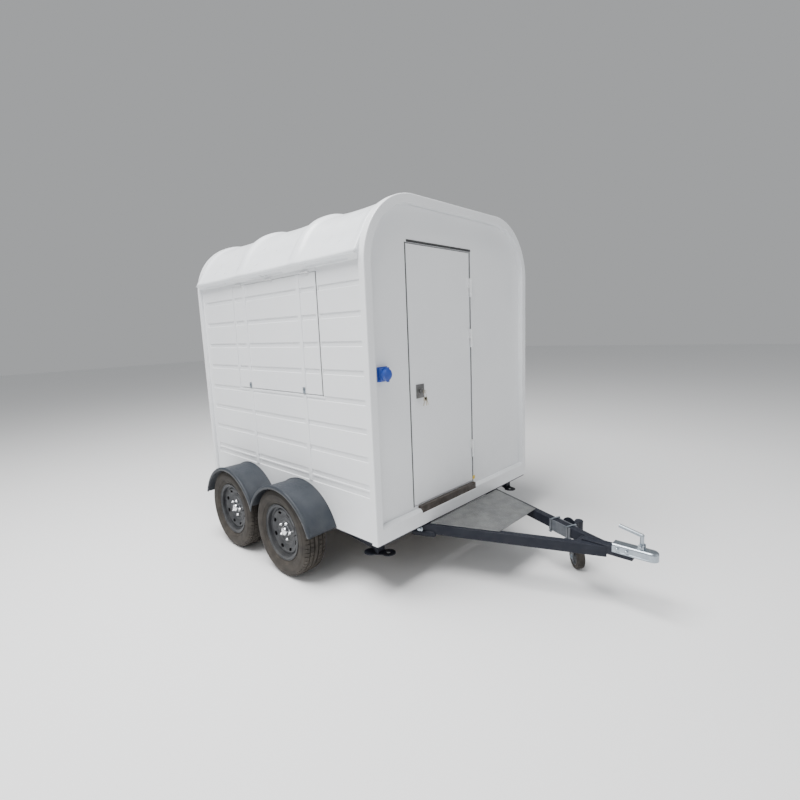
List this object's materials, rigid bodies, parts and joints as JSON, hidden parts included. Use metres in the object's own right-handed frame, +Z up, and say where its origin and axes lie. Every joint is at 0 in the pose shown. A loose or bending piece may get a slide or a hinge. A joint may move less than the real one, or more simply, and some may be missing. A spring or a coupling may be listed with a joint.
{
  "type": "food trailer",
  "caption": "Two-axle food trailer: hollow box cabin with arched roof, front door and side serving hatch, on a drawbar with ball coupling, jockey wheel and corner steadies.",
  "frame": {"origin": "on the ground under the middle of the whole trailer", "axes": "+X forwards along the trailer to the coupler, +Y to the left side, +Z up"},
  "size_m": [3.139, 2.024, 2.265],
  "materials": {
    "white_paint": "satin white paint on pressed sheet",
    "roof_paint": "satin white paint on rolled sheet",
    "black_steel": "black paint on steel",
    "tread_steel": "chequer plate",
    "zinc": "zinc plated pressed steel",
    "tyre": "dusty tyre rubber",
    "rim_black": "black painted wheel",
    "guard_plastic": "dark slate moulded plastic",
    "inlet_blue": "moulded plastic",
    "lamp_red": "ribbed lens",
    "plate_white": "blank plate",
    "sill_dark": "dark threshold",
    "floor_board": "coated plywood",
    "jockey_rubber": "solid rubber",
    "lock_steel": "darkened steel",
    "hinge_white": "painted steel"
  },
  "bodies": {
    "trailer": {"front_rim": "white_paint", "rear_rim": "white_paint", "front_wall": "white_paint", "rear_wall": "white_paint", "right_wall": "white_paint", "left_wall": "white_paint", "roof_shell": "roof_paint", "soffits": "white_paint", "floor_panel": "floor_board", "door_sill": "sill_dark", "door_hinge_pins": "hinge_white", "hatch_hinge_pins": "hinge_white", "power_inlet": "inlet_blue", "chassis_frame": "black_steel", "drawbar_arm_right": "black_steel", "drawbar_arm_left": "black_steel", "drawbar_nose": "black_steel", "tread_plate": "tread_steel", "coupler_body": "zinc", "front_axle": "black_steel", "rear_axle": "black_steel", "right_mudguards": "guard_plastic", "left_mudguards": "guard_plastic", "steady_brackets": "black_steel", "jockey_mount": "black_steel", "tail_lamps": "lamp_red", "number_plate": "plate_white"},
    "door": {"door_panel": "white_paint", "door_hinge_barrels": "hinge_white", "door_lock": "lock_steel"},
    "hatch": {"hatch_panel": "white_paint", "hatch_hinge_barrels": "hinge_white", "hatch_latches": "zinc"},
    "coupler_handle": {"coupler_handle": "zinc"},
    "jockey_leg": {"jockey_leg": "black_steel"},
    "jockey_fork": {"jockey_fork": "black_steel"},
    "jockey_wheel": {"jockey_wheel": "jockey_rubber"},
    "wheel_front_right": {"tyre_front_right": "tyre", "rim_front_right": "rim_black"},
    "steady_front_right": {"steady_leg_front_right": "black_steel"},
    "foot_front_right": {"steady_foot_front_right": "black_steel"},
    "wheel_front_left": {"tyre_front_left": "tyre", "rim_front_left": "rim_black"},
    "steady_front_left": {"steady_leg_front_left": "black_steel"},
    "foot_front_left": {"steady_foot_front_left": "black_steel"},
    "wheel_rear_right": {"tyre_rear_right": "tyre", "rim_rear_right": "rim_black"},
    "steady_rear_right": {"steady_leg_rear_right": "black_steel"},
    "foot_rear_right": {"steady_foot_rear_right": "black_steel"},
    "wheel_rear_left": {"tyre_rear_left": "tyre", "rim_rear_left": "rim_black"},
    "steady_rear_left": {"steady_leg_rear_left": "black_steel"},
    "foot_rear_left": {"steady_foot_rear_left": "black_steel"}
  },
  "joints": [
    {"name": "wheel_front_right_spin", "type": "hinge", "parent": "trailer", "child": "wheel_front_right", "pos_m": [-0.3395, -0.9175, 0.285], "axis": [0, 1, 0], "continuous": true},
    {"name": "steady_front_right_drop", "type": "hinge", "parent": "trailer", "child": "steady_front_right", "pos_m": [-0.0875, -0.713, 0.312], "axis": [0, 1, 0], "range_deg": [0, 42]},
    {"name": "foot_front_right_tilt", "type": "hinge", "parent": "steady_front_right", "child": "foot_front_right", "pos_m": [0.28012, -0.713, 0.27011], "axis": [0, 1, 0], "range_deg": [-42, 0]},
    {"name": "wheel_front_left_spin", "type": "hinge", "parent": "trailer", "child": "wheel_front_left", "pos_m": [-0.3395, 0.9175, 0.285], "axis": [0, 1, 0], "continuous": true},
    {"name": "steady_front_left_drop", "type": "hinge", "parent": "trailer", "child": "steady_front_left", "pos_m": [-0.0875, 0.713, 0.312], "axis": [0, 1, 0], "range_deg": [0, 42]},
    {"name": "foot_front_left_tilt", "type": "hinge", "parent": "steady_front_left", "child": "foot_front_left", "pos_m": [0.28012, 0.713, 0.27011], "axis": [0, 1, 0], "range_deg": [-42, 0]},
    {"name": "wheel_rear_right_spin", "type": "hinge", "parent": "trailer", "child": "wheel_rear_right", "pos_m": [-0.9895, -0.9175, 0.285], "axis": [0, 1, 0], "continuous": true},
    {"name": "steady_rear_right_drop", "type": "hinge", "parent": "trailer", "child": "steady_rear_right", "pos_m": [-1.0965, -0.713, 0.312], "axis": [0, -1, 0], "range_deg": [0, 42]},
    {"name": "foot_rear_right_tilt", "type": "hinge", "parent": "steady_rear_right", "child": "foot_rear_right", "pos_m": [-1.46412, -0.713, 0.27011], "axis": [0, -1, 0], "range_deg": [-42, 0]},
    {"name": "wheel_rear_left_spin", "type": "hinge", "parent": "trailer", "child": "wheel_rear_left", "pos_m": [-0.9895, 0.9175, 0.285], "axis": [0, 1, 0], "continuous": true},
    {"name": "steady_rear_left_drop", "type": "hinge", "parent": "trailer", "child": "steady_rear_left", "pos_m": [-1.0965, 0.713, 0.312], "axis": [0, -1, 0], "range_deg": [0, 42]},
    {"name": "foot_rear_left_tilt", "type": "hinge", "parent": "steady_rear_left", "child": "foot_rear_left", "pos_m": [-1.46412, 0.713, 0.27011], "axis": [0, -1, 0], "range_deg": [-42, 0]},
    {"name": "door_hinge", "type": "hinge", "parent": "trailer", "child": "door", "pos_m": [0.3605, 0.139, 1.2355], "axis": [0, 0, 1], "range_deg": [0, 160]},
    {"name": "hatch_hinge", "type": "hinge", "parent": "trailer", "child": "hatch", "pos_m": [-0.5415, -0.814, 1.88], "axis": [-1, 0, 0], "range_deg": [0, 85]},
    {"name": "coupler_handle_lift", "type": "hinge", "parent": "trailer", "child": "coupler_handle", "pos_m": [1.4875, 0, 0.378], "axis": [0, 1, 0], "range_deg": [0, 45]},
    {"name": "jockey_swing", "type": "hinge", "parent": "trailer", "child": "jockey_leg", "pos_m": [1.0105, 0.13, 0.292], "axis": [0.3714, 0.9285, 0], "range_deg": [0, 90]},
    {"name": "jockey_swivel", "type": "hinge", "parent": "jockey_leg", "child": "jockey_fork", "pos_m": [1.05878, 0.2507, 0.2], "axis": [0, 0, 1], "continuous": true},
    {"name": "jockey_wheel_spin", "type": "hinge", "parent": "jockey_fork", "child": "jockey_wheel", "pos_m": [1.04628, 0.26365, 0.075], "axis": [0.7193, 0.6947, 0], "continuous": true}
  ],
  "couplings": [
    {"joint": "foot_front_right_tilt", "follows": "steady_front_right_drop", "ratio": -1},
    {"joint": "foot_front_left_tilt", "follows": "steady_front_left_drop", "ratio": -1},
    {"joint": "foot_rear_right_tilt", "follows": "steady_rear_right_drop", "ratio": -1},
    {"joint": "foot_rear_left_tilt", "follows": "steady_rear_left_drop", "ratio": -1}
  ]
}
